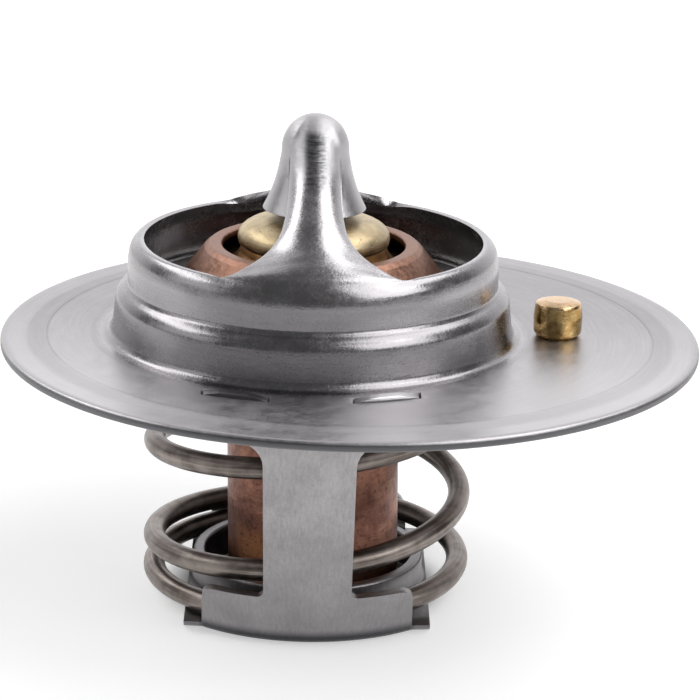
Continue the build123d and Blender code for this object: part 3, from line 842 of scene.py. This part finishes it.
# ---------------------------------------------------------------- materials
class Net:
    """A procedural material. Lengths in its textures are millimetres in the row frame."""

    def __init__(self, name, metallic=1.0, roughness=0.3, color=(0.5, 0.5, 0.5)):
        self.m = bpy.data.materials.new(name)
        self.m.use_nodes = True
        self.t = self.m.node_tree
        self.b = self.t.nodes["Principled BSDF"]
        self.b.inputs["Metallic"].default_value = metallic
        self.b.inputs["Roughness"].default_value = roughness
        self.b.inputs["Base Color"].default_value = (*color, 1)
        co = self.node("ShaderNodeTexCoord")
        self.p = self.vec("MULTIPLY", co.outputs["Object"], (1000, 1000, 1000))

    def node(self, kind, ins=None, **props):
        n = self.t.nodes.new(kind)
        for k, v in props.items():
            setattr(n, k, v)
        for k, v in (ins or {}).items():
            if isinstance(v, bpy.types.NodeSocket):
                self.t.links.new(v, n.inputs[k])
            else:
                n.inputs[k].default_value = v
        return n

    def vec(self, op, a, b=(0, 0, 0), out=0):
        return self.node("ShaderNodeVectorMath", {0: a, 1: b}, operation=op).outputs[out]

    def val(self, op, a, b=0.0, clamp=False):
        return self.node("ShaderNodeMath", {0: a, 1: b}, operation=op, use_clamp=clamp).outputs[0]

    def noise(self, scale, vector=None, detail=2.0, rough=0.5, warp=0.0):
        n = self.node("ShaderNodeTexNoise", {"Vector": vector or self.p, "Scale": scale, "Detail": detail, "Roughness": rough, "Distortion": warp})
        return n.outputs[0]

    def cells(self, scale, vector=None, feature="F1", rand=1.0):
        n = self.node("ShaderNodeTexVoronoi", {"Vector": vector or self.p, "Scale": scale, "Randomness": rand}, feature=feature)
        return n.outputs["Distance"]

    def fit(self, v, a, b, c=0.0, d=1.0, smooth=False):
        n = self.node("ShaderNodeMapRange", {0: v, 1: a, 2: b, 3: c, 4: d}, clamp=True)
        if smooth:
            n.interpolation_type = "SMOOTHSTEP"
        return n.outputs[0]

    def mix(self, f, a, b, blend="MIX"):
        n = self.node("ShaderNodeMix", data_type="RGBA", blend_type=blend)
        for i, v in ((0, f), (6, a), (7, b)):
            if isinstance(v, bpy.types.NodeSocket):
                self.t.links.new(v, n.inputs[i])
            elif i == 0:
                n.inputs[0].default_value = v
            else:
                n.inputs[i].default_value = (*v, 1)
        return n.outputs[2]

    def color(self, s):
        self.t.links.new(s, self.b.inputs["Base Color"])

    def rough(self, s):
        self.t.links.new(s, self.b.inputs["Roughness"])

    def bump(self, height, depth, strength=1.0, after=None):
        ins = {"Height": height, "Distance": depth * MM, "Strength": strength}
        if after is not None:
            ins["Normal"] = after
        n = self.node("ShaderNodeBump", ins)
        self.t.links.new(n.outputs[0], self.b.inputs["Normal"])
        return n.outputs[0]

    def split(self, v):
        return self.node("ShaderNodeSeparateXYZ", {0: v}).outputs

    def join(self, x, y, z):
        return self.node("ShaderNodeCombineXYZ", {0: x, 1: y, 2: z}).outputs[0]

    def vec_x(self, cx):
        """Distance along X from an upright plane."""
        return self.val("SUBTRACT", self.split(self.p)[0], cx)

    def around(self, cx, turn, up, out):
        """Coordinates that run round an upright axis: long features round it, fine ones across."""
        q = self.vec("SUBTRACT", self.p, (cx, 0, 0))
        s = self.split(q)
        flat = self.join(s[0], s[1], 0.0)
        r = self.vec("LENGTH", flat, out=1)
        unit = self.vec("NORMALIZE", flat)
        u = self.split(unit)
        fine = self.val("ADD", self.val("MULTIPLY", s[2], up), self.val("MULTIPLY", r, out))
        return self.join(self.val("MULTIPLY", u[0], turn), self.val("MULTIPLY", u[1], turn), fine), r, s[2]


def stainless():
    m = Net("drawn_stainless")
    ring, r, z = m.around(AX, 5.0, 5.0, 5.0)
    rim_r = m.vec("LENGTH", m.vec("MULTIPLY", m.p, (1, 1, 0)), out=1)
    streak = m.noise(1.0, ring, 3.0, 0.6)
    cloud = m.noise(0.16, detail=3.0, rough=0.55)
    blot = m.noise(0.75, detail=4.0, rough=0.68)
    grain = m.noise(4.6, detail=2.0, rough=0.6)
    fine = m.noise(11.0, detail=1.0)
    tone = m.val("ADD", m.val("MULTIPLY", m.val("ADD", cloud, blot), 0.27), m.val("MULTIPLY", m.val("ADD", streak, grain), 0.24))
    base = m.mix(m.fit(tone, 0.42, 0.62), (0.305, 0.292, 0.302), (0.445, 0.430, 0.442))
    # painted light and shade: the upper wall and all above it are lightened, a painted reflection of the pale floor,
    # and the lower drawn wall is darkened, painted shade
    wall = m.val("MULTIPLY", m.fit(r, 13.6, 14.2, smooth=True), m.fit(r, 15.9, 16.4, 1.0, 0.0, smooth=True))
    wall = m.val("MULTIPLY", wall, m.fit(z, DECK + 5.3, DECK + 6.4, 1.0, 0.0, smooth=True))
    painted_upper_light = m.fit(z, DECK + 3.7, DECK + 4.2, smooth=True)
    base = m.mix(m.val("MULTIPLY", painted_upper_light, 0.30), base, (0.62, 0.60, 0.61))
    base = m.mix(m.val("MULTIPLY", wall, m.fit(painted_upper_light, 0.0, 1.0, 0.50, 0.42)), base, (0.20, 0.19, 0.20))
    # painted shade: a darker band over the crease's slope and a dark line at its inner edge
    painted_crease_shade = m.val("MULTIPLY", m.fit(rim_r, 23.45, 23.70), m.fit(rim_r, 24.7, 25.1, 1.0, 0.0))
    painted_crease_line_shade = m.val("MULTIPLY", m.fit(rim_r, 23.30, 23.42), m.fit(rim_r, 23.46, 23.62, 1.0, 0.0))
    base = m.mix(m.val("MULTIPLY", painted_crease_shade, 0.30), base, (0.20, 0.19, 0.20))
    base = m.mix(m.val("MULTIPLY", painted_crease_line_shade, 0.55), base, (0.13, 0.125, 0.13))
    band = m.fit(rim_r, 24.9, 25.3)
    base = m.mix(m.val("MULTIPLY", band, 0.25), base, (0.62, 0.60, 0.62))
    # painted shade: the flange's outer side face is darkened
    edge = m.val("MULTIPLY", m.fit(rim_r, 26.80, 26.97), m.fit(z, 0.50, 0.62, 1.0, 0.0))
    base = m.mix(m.val("MULTIPLY", edge, 0.80), base, (0.10, 0.10, 0.105))
    # painted light: the front part of the flange is lightened
    painted_front_flange_light = m.val("MULTIPLY", m.fit(r, 16.5, 17.4), m.fit(m.split(m.p)[1], 6.0, -14.0))
    painted_front_flange_light = m.val("MULTIPLY", painted_front_flange_light, m.fit(rim_r, 26.3, 26.8, 1.0, 0.0))
    base = m.mix(m.val("MULTIPLY", painted_front_flange_light, 0.42), base, (0.80, 0.785, 0.80))
    bell = m.val("MULTIPLY", m.fit(z, DECK + 12.4, DECK + 14.2, smooth=True), m.fit(r, 8.0, 6.0))
    skirt = m.val("MULTIPLY", m.fit(m.val("ABSOLUTE", m.vec_x(AX)), 2.0, 2.3), m.val("MULTIPLY", m.fit(z, DECK + 9.0, DECK + 9.5), m.fit(r, 4.6, 4.2)))
    # painted shade: the curled lip at the throat's top is darkened
    lip = m.val("MULTIPLY", m.fit(z, DECK + 5.6, DECK + 6.3, smooth=True), m.fit(z, DECK + 7.4, DECK + 7.9, 1.0, 0.0, smooth=True))
    lip = m.val("MULTIPLY", lip, m.fit(r, 13.0, 13.5))
    base = m.mix(m.val("MULTIPLY", lip, 0.42), base, (0.15, 0.145, 0.15))
    bell = m.val("MAXIMUM", bell, m.val("MULTIPLY", skirt, 0.45))
    drawn = m.fit(r, 16.2, 17.0, 1.0, 0.0, smooth=True)
    # the crown of the front leg stays bright-drawn up to the dome
    side = m.split(m.p)
    strip = m.val("MULTIPLY", m.fit(m.val("ABSOLUTE", m.val("SUBTRACT", m.vec_x(AX), 0.15)), 0.55, 1.35, 1.0, 0.0, smooth=True), m.fit(side[1], 0.0, -1.0))
    strip = m.val("MULTIPLY", strip, m.fit(z, DECK + 15.8, DECK + 16.5, 1.0, 0.0, smooth=True))
    bell = m.val("MULTIPLY", bell, m.fit(strip, 0.0, 1.0, 1.0, 0.25))
    base = m.mix(m.val("MULTIPLY", bell, 0.55), base, (0.66, 0.645, 0.66))
    scratch = m.noise(1.0, m.join(m.val("MULTIPLY", side[0], 0.9), m.val("MULTIPLY", side[1], 2.5), m.val("MULTIPLY", side[2], 7.0)), 3.0, 0.6)
    # painted reflection: a dark streak down the front leg's crown, for the dark surroundings it reflects
    painted_crown_reflection = m.val("MULTIPLY", m.fit(m.val("ABSOLUTE", m.val("SUBTRACT", m.vec_x(AX), 0.10)), 0.40, 1.15, 1.0, 0.0, smooth=True), m.fit(side[1], 0.0, -1.0))
    painted_crown_reflection = m.val("MULTIPLY", painted_crown_reflection, m.fit(z, DECK + 15.75, DECK + 16.35, 1.0, 0.0, smooth=True))
    painted_crown_reflection = m.val("MULTIPLY", painted_crown_reflection, m.fit(z, DECK + 12.2, DECK + 13.2, smooth=True))
    painted_crown_reflection = m.val("MULTIPLY", painted_crown_reflection, m.fit(scratch, 0.36, 0.60, 1.0, 0.45))
    base = m.mix(m.val("MULTIPLY", painted_crown_reflection, 0.88), base, (0.055, 0.058, 0.064))
    m.color(base)
    rough = m.val("ADD", m.fit(cloud, 0.3, 0.7, 0.19, 0.25), m.fit(grain, 0.3, 0.7, -0.02, 0.05))
    rough = m.val("ADD", rough, m.fit(blot, 0.35, 0.65, -0.03, 0.06))
    rough = m.val("ADD", rough, m.val("MULTIPLY", m.fit(drawn, 0.0, 1.0, 0.13, 0.0), 1.0))
    m.rough(m.val("ADD", rough, m.val("MULTIPLY", bell, 0.28)))
    h = m.val("ADD", m.val("MULTIPLY", grain, 0.6), m.val("MULTIPLY", streak, 0.5))
    h = m.val("ADD", h, m.val("MULTIPLY", blot, 0.9))
    first = m.bump(h, 0.014)
    top = m.fit(z, DECK + 12.6, DECK + 13.6)
    second = m.bump(m.val("MULTIPLY", scratch, top), 0.030, after=first)
    m.bump(fine, 0.004, after=second)
    return m.m


def stamped():
    m = Net("stamped_steel")
    cloud = m.noise(0.35, detail=3.0)
    grain = m.noise(5.0, detail=3.0, rough=0.65)
    s = m.split(m.p)
    long = m.noise(1.0, m.join(m.val("MULTIPLY", s[0], 5.0), m.val("MULTIPLY", s[1], 5.0), m.val("MULTIPLY", s[2], 0.5)), 2.0)
    tone = m.val("ADD", m.val("MULTIPLY", cloud, 0.4), m.val("MULTIPLY", m.val("ADD", grain, long), 0.3))
    base = m.mix(m.fit(tone, 0.38, 0.62), (0.33, 0.315, 0.325), (0.47, 0.455, 0.46))
    # painted shade: darker towards the bottom, where the stirrup meets the floor
    base = m.mix(m.fit(s[2], BASE + 1.0, DECK - 7.0, 0.50, 0.0), base, (0.14, 0.135, 0.14))
    # painted shade: the bottom fold is darkened nearly to black
    painted_fold_shade = m.val("MULTIPLY", m.fit(s[2], BASE + 0.55, BASE + 1.6, 1.0, 0.0, smooth=True), m.fit(m.val("ABSOLUTE", m.vec_x(AX)), 7.8, 8.3, 0.97, 0.35))
    base = m.mix(painted_fold_shade, base, (0.018, 0.018, 0.022))
    # painted light and shade on the tabs above the deck: the pin's side is lightened, the other side darkened
    painted_tab_light_and_shade = m.mix(m.fit(m.vec_x(AX), -1.0, 1.0), (0.16, 0.155, 0.16), (0.80, 0.79, 0.80))
    base = m.mix(m.fit(s[2], DECK - 0.1, DECK + 0.1), base, painted_tab_light_and_shade)
    axial = m.around(AX, 5.0, 5.0, 5.0)[1]
    # painted shade: the neck's bore is darkened nearly to black
    painted_bore_shade = m.val("MULTIPLY", m.fit(axial, 8.10, 8.30, 1.0, 0.0), m.fit(s[2], DECK - 18.45, DECK - 18.05, 1.0, 0.0))
    base = m.mix(m.val("MULTIPLY", painted_bore_shade, 0.95), base, (0.02, 0.02, 0.024))
    m.color(base)
    m.rough(m.fit(grain, 0.3, 0.7, 0.34, 0.46))
    m.bump(m.val("ADD", grain, m.val("MULTIPLY", long, 0.5)), 0.015)
    return m.m


def plate_metal():
    m = Net("plate_steel")
    ring, r, z = m.around(AX, 4.0, 6.0, 6.0)
    streak = m.noise(1.0, ring, 3.0)
    grain = m.noise(5.0)
    m.color(m.mix(m.fit(m.noise(0.3, detail=3.0), 0.35, 0.65), (0.45, 0.43, 0.42), (0.62, 0.60, 0.59)))
    m.rough(m.fit(grain, 0.3, 0.7, 0.28, 0.40))
    m.bump(m.val("ADD", streak, grain), 0.010)
    return m.m


def wire():
    m = Net("spring_wire")
    at = m.node("ShaderNodeAttribute", attribute_name="wire").outputs["Vector"]
    s = m.split(at)
    v = m.join(m.val("MULTIPLY", s[0], 3.2), m.val("MULTIPLY", s[1], 3.2), m.val("MULTIPLY", s[2], 0.16))
    streak = m.noise(1.0, v, 4.0, 0.62)
    blot = m.noise(0.45, detail=3.0, rough=0.6)
    grain = m.noise(5.5, detail=2.0)
    tone = m.val("ADD", m.val("MULTIPLY", streak, 0.62), m.val("MULTIPLY", blot, 0.38))
    dark = m.mix(m.fit(blot, 0.35, 0.65), (0.130, 0.105, 0.092), (0.175, 0.155, 0.145))
    m.color(m.mix(m.fit(tone, 0.42, 0.62), dark, (0.33, 0.285, 0.255)))
    m.rough(m.fit(streak, 0.3, 0.7, 0.30, 0.42))
    m.bump(m.val("ADD", streak, m.val("MULTIPLY", grain, 0.3)), 0.02)
    return m.m


def copper():
    m = Net("copper")
    ring, r, z = m.around(AX, 3.0, 4.0, 4.0)
    streak = m.noise(1.0, ring, 3.0, 0.6)
    blot = m.noise(0.55, detail=4.0, rough=0.62, warp=0.4)
    spots = m.noise(2.2, detail=3.0, rough=0.7)
    grain = m.noise(6.0, detail=2.0)
    glow = m.noise(0.22, detail=2.0)
    base = m.mix(m.fit(blot, 0.36, 0.64), (0.150, 0.068, 0.050), (0.31, 0.150, 0.105))
    base = m.mix(m.fit(glow, 0.52, 0.66, 0.0, 0.8), base, (0.42, 0.185, 0.085))
    base = m.mix(m.fit(spots, 0.54, 0.72, 0.0, 0.75), base, (0.085, 0.042, 0.032))
    high = m.fit(z, DECK + 3.4, DECK + 4.2)
    lip = m.mix(m.fit(spots, 0.35, 0.65), (0.215, 0.108, 0.076), (0.37, 0.205, 0.145))
    base = m.mix(high, base, lip)
    m.color(base)
    m.rough(m.fit(spots, 0.3, 0.7, 0.32, 0.50))
    m.bump(m.val("ADD", m.val("ADD", spots, streak), m.val("MULTIPLY", grain, 0.6)), 0.03)
    return m.m


def brass():
    m = Net("guide_brass")
    ring, r, z = m.around(AX, 4.0, 7.0, 7.0)
    streak = m.noise(1.0, ring, 2.0)
    pits = m.cells(2.9)
    blot = m.noise(0.8, detail=3.0)
    base = m.mix(m.fit(blot, 0.35, 0.65), (0.40, 0.31, 0.185), (0.60, 0.485, 0.30))
    neck = m.fit(z, DECK + 7.05, DECK + 7.20)
    base = m.mix(m.val("SUBTRACT", 1.0, neck), base, m.mix(m.fit(blot, 0.35, 0.65), (0.36, 0.185, 0.075), (0.56, 0.33, 0.14)))
    # painted shade: the bush outside r 6.25, sitting down in the cup, is darkened nearly to black
    painted_recess_shade = m.fit(r, 5.95, 6.25)
    base = m.mix(m.val("MULTIPLY", painted_recess_shade, 0.97), base, (0.012, 0.010, 0.009))
    pit = m.val("MAXIMUM", m.fit(pits, 0.10, 0.28), m.fit(m.noise(1.3, detail=2.0), 0.56, 0.50))
    base = m.mix(m.val("MULTIPLY", m.val("SUBTRACT", 1.0, pit), 0.6), base, (0.13, 0.09, 0.045))
    m.color(base)
    m.rough(m.fit(blot, 0.3, 0.7, 0.34, 0.46))
    first = m.bump(pit, 0.03)
    m.bump(m.val("ADD", streak, m.noise(7.0)), 0.015, after=first)
    return m.m


def pin_metal():
    m = Net("pin_brass")
    ring, r, z = m.around(PIN_X, 3.0, 5.0, 5.0)
    streak = m.noise(1.0, ring, 2.0)
    blot = m.noise(1.1, detail=3.0, rough=0.6)
    base = m.mix(m.fit(blot, 0.38, 0.62), (0.42, 0.245, 0.08), (0.75, 0.54, 0.24))
    top = m.fit(z, DECK + 2.35, DECK + 2.75)
    base = m.mix(m.val("MULTIPLY", top, 0.6), base, (0.70, 0.50, 0.36))
    m.color(base)
    m.rough(m.fit(blot, 0.3, 0.7, 0.16, 0.32))
    m.bump(m.val("ADD", streak, m.val("MULTIPLY", m.noise(6.0), 0.7)), 0.015)
    return m.m


def ground_steel():
    m = Net("piston_steel")
    ring, r, z = m.around(AX, 3.0, 14.0, 0.0)
    streak = m.noise(1.0, ring, 2.0)
    m.color(m.mix(m.fit(m.noise(0.8), 0.3, 0.7), (0.58, 0.58, 0.59), (0.70, 0.70, 0.71)))
    m.rough(m.fit(streak, 0.3, 0.7, 0.14, 0.24))
    m.bump(streak, 0.005)
    return m.m


def plain(name, a, b, metallic, r0, r1, scale, depth):
    m = Net(name, metallic=metallic)
    n = m.noise(scale, detail=4.0, rough=0.6)
    m.color(m.mix(m.fit(n, 0.35, 0.65), a, b))
    m.rough(m.fit(n, 0.3, 0.7, r0, r1))
    m.bump(n, depth)
    return m.m


def dress(ob, mat, node=None, body=None):
    ob.data.materials.clear()
    ob.data.materials.append(mat)
    if node:
        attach(ob, body)
        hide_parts(node)


dress(body, stainless(), "flanged_body", "housing")
dress(stirrup, stamped(), "lower_stirrup", "housing")
dress(coil, wire(), "return_spring", "housing")
dress(rod, ground_steel(), "piston", "housing")
dress(plate, plate_metal(), "valve_plate", "valve")
dress(cup, copper(), "wax_cup", "valve")
dress(guide, brass(), "piston_guide", "valve")
dress(pin, pin_metal(), "jiggle_pin", "vent_pin")
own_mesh(coil)
for node, mat in (("backup_washer", plain("hard_plastic", (0.80, 0.79, 0.75), (0.90, 0.89, 0.86), 0.0, 0.30, 0.42, 3.0, 0.01)),
                  ("rubber_boot", plain("boot_rubber", (0.025, 0.025, 0.026), (0.050, 0.049, 0.048), 0.0, 0.60, 0.78, 2.5, 0.03)),
                  ("wax_charge", plain("wax", (0.62, 0.42, 0.25), (0.78, 0.58, 0.38), 0.0, 0.45, 0.62, 1.5, 0.03))):
    for s in nodes[node].material_slots:
        s.material = mat

for ob in (body, stirrup, coil, rod, plate, cup, guide, pin):
    print("TRIS", ob.name, sum(len(p.vertices) - 2 for p in ob.data.polygons))

# ---------------------------------------------------------------- camera
scene = bpy.context.scene
e, roll, yaw, dist = 0.2883, 0.0224, deg(0.8), 240.0
focal_px = 3090.0
target = Vector((0, 0, DECK)) * MM
horiz = Vector((-math.sin(yaw), -math.cos(yaw), 0))
cam_loc = target + (horiz * math.cos(e) + Vector((0, 0, 1)) * math.sin(e)) * dist * MM
forward = (target - cam_loc).normalized()
right = forward.cross(Vector((0, 0, 1))).normalized()
up = right.cross(forward)
# the object is turned clockwise in the picture, so the camera is turned the other way
right2 = right * math.cos(roll) + up * math.sin(roll)
up2 = up * math.cos(roll) - right * math.sin(roll)
rot = Matrix((right2, up2, -forward)).transposed()
cam_data = bpy.data.cameras.new("camera")
cam = bpy.data.objects.new("camera", cam_data)
scene.collection.objects.link(cam)
cam.matrix_world = Matrix.Translation(cam_loc) @ rot.to_4x4()
cam_data.sensor_fit = "HORIZONTAL"
cam_data.sensor_width = 36.0
cam_data.lens = focal_px / 700 * 36
# the target sits at pixel (350.1, 331.2) of 700 x 700
cam_data.shift_x = -(350.1 - 350.0) / 700
cam_data.shift_y = (331.2 - 350.0) / 700
cam_data.clip_start = 0.01
cam_data.clip_end = 20
scene.camera = cam

# ---------------------------------------------------------------- floor, world and softboxes
scene.view_settings.view_transform = "Standard"
floor_me = bpy.data.meshes.new("floor")
s = 1.6
floor_me.from_pydata([(-s, -s, 0), (s, -s, 0), (s, s, 0), (-s, s, 0)], [], [(0, 1, 2, 3)])
floor = bpy.data.objects.new("floor", floor_me)
floor.location.z = (BASE - 0.005) * MM
scene.collection.objects.link(floor)
fm = bpy.data.materials.new("floor")
fm.use_nodes = True
fb = fm.node_tree.nodes["Principled BSDF"]
fb.inputs["Base Color"].default_value = (0.64, 0.64, 0.64, 1)
fb.inputs["Roughness"].default_value = 0.85
fb.inputs["Specular IOR Level"].default_value = 0.2
fb.inputs["Emission Color"].default_value = (1, 1, 1, 1)
# painted light: the floor glows, more towards the rear, as under a lit backdrop
fy = fm.node_tree.nodes.new("ShaderNodeSeparateXYZ")
fm.node_tree.links.new(fm.node_tree.nodes.new("ShaderNodeTexCoord").outputs["Object"], fy.inputs[0])
fr = fm.node_tree.nodes.new("ShaderNodeMapRange")
fr.interpolation_type = "SMOOTHSTEP"
for i, v in ((1, -0.060), (2, -0.020), (3, 0.0), (4, 0.50)):
    fr.inputs[i].default_value = v
fm.node_tree.links.new(fy.outputs[1], fr.inputs[0])
# painted shadow: the floor's glow is cut out under the part, for a contact shadow
fd = fm.node_tree.nodes.new("ShaderNodeVectorMath")
fd.operation = "DISTANCE"
fd.inputs[1].default_value = (AX * MM, 0, 0)
fm.node_tree.links.new(fy.inputs[0].links[0].from_socket, fd.inputs[0])
fu = fm.node_tree.nodes.new("ShaderNodeMapRange")
fu.interpolation_type = "SMOOTHSTEP"
fu.inputs[1].default_value, fu.inputs[2].default_value = 0.0085, 0.0120
fx = fm.node_tree.nodes.new("ShaderNodeMath")
fx.operation = "MULTIPLY"
fm.node_tree.links.new(fd.outputs["Value"], fu.inputs[0])
fm.node_tree.links.new(fr.outputs[0], fx.inputs[0])
fm.node_tree.links.new(fu.outputs[0], fx.inputs[1])
fm.node_tree.links.new(fx.outputs[0], fb.inputs["Emission Strength"])
floor_me.materials.append(fm)

world = bpy.data.worlds.new("world")
scene.world = world
world.use_nodes = True
wt = world.node_tree
bg = wt.nodes["Background"]


def wnode(kind, ins=None, **props):
    n = wt.nodes.new(kind)
    for k, v in props.items():
        setattr(n, k, v)
    for k, v in (ins or {}).items():
        if isinstance(v, bpy.types.NodeSocket):
            wt.links.new(v, n.inputs[k])
        else:
            n.inputs[k].default_value = v
    return n


wd = wnode("ShaderNodeSeparateXYZ", {0: wnode("ShaderNodeTexCoord").outputs["Generated"]}).outputs
rear = wnode("ShaderNodeMapRange", {0: wd[1], 1: 0.30, 2: 0.78, 3: 0.15, 4: 1.02}, clamp=True, interpolation_type="SMOOTHSTEP").outputs[0]
peak = wnode("ShaderNodeMapRange", {0: wd[1], 1: 0.80, 2: 1.00, 3: 0.0, 4: 0.40}, clamp=True, interpolation_type="SMOOTHSTEP").outputs[0]
wt.links.new(wnode("ShaderNodeMath", {0: rear, 1: peak}, operation="ADD").outputs[0], bg.inputs["Strength"])
bg.inputs["Color"].default_value = (0.985, 0.985, 1.0, 1)


def softbox(name, azimuth, elevation, distance, size, radiance, aim=(0, 0, 0)):
    """A soft light at an azimuth from the rear towards +X, in degrees, and an elevation."""
    a, el = math.radians(azimuth), math.radians(elevation)
    loc = Vector((math.sin(a) * math.cos(el), math.cos(a) * math.cos(el), math.sin(el))) * distance
    ld = bpy.data.lights.new(name, "AREA")
    ld.shape = "RECTANGLE"
    ld.size, ld.size_y = size
    ld.energy = radiance * math.pi * size[0] * size[1]
    ob = bpy.data.objects.new(name, ld)
    scene.collection.objects.link(ob)
    ob.location = loc
    ob.rotation_euler = (Vector(aim) - loc).to_track_quat("-Z", "Y").to_euler()
    ob.visible_camera = False
    return ob


softbox("softbox_left", -68, 43, 0.60, (0.56, 0.19), 3.4)
softbox("softbox_low_left", -100, 18, 0.60, (0.44, 0.30), 0.85)
softbox("softbox_right", 128, 32, 0.60, (0.46, 0.42), 2.9)
overhead = softbox("softbox_top", 0, 90, 0.60, (0.44, 0.76), 2.9)
overhead.location = (0.375, 0.100, 0.60)
overhead.rotation_euler = (0, 0, 0)
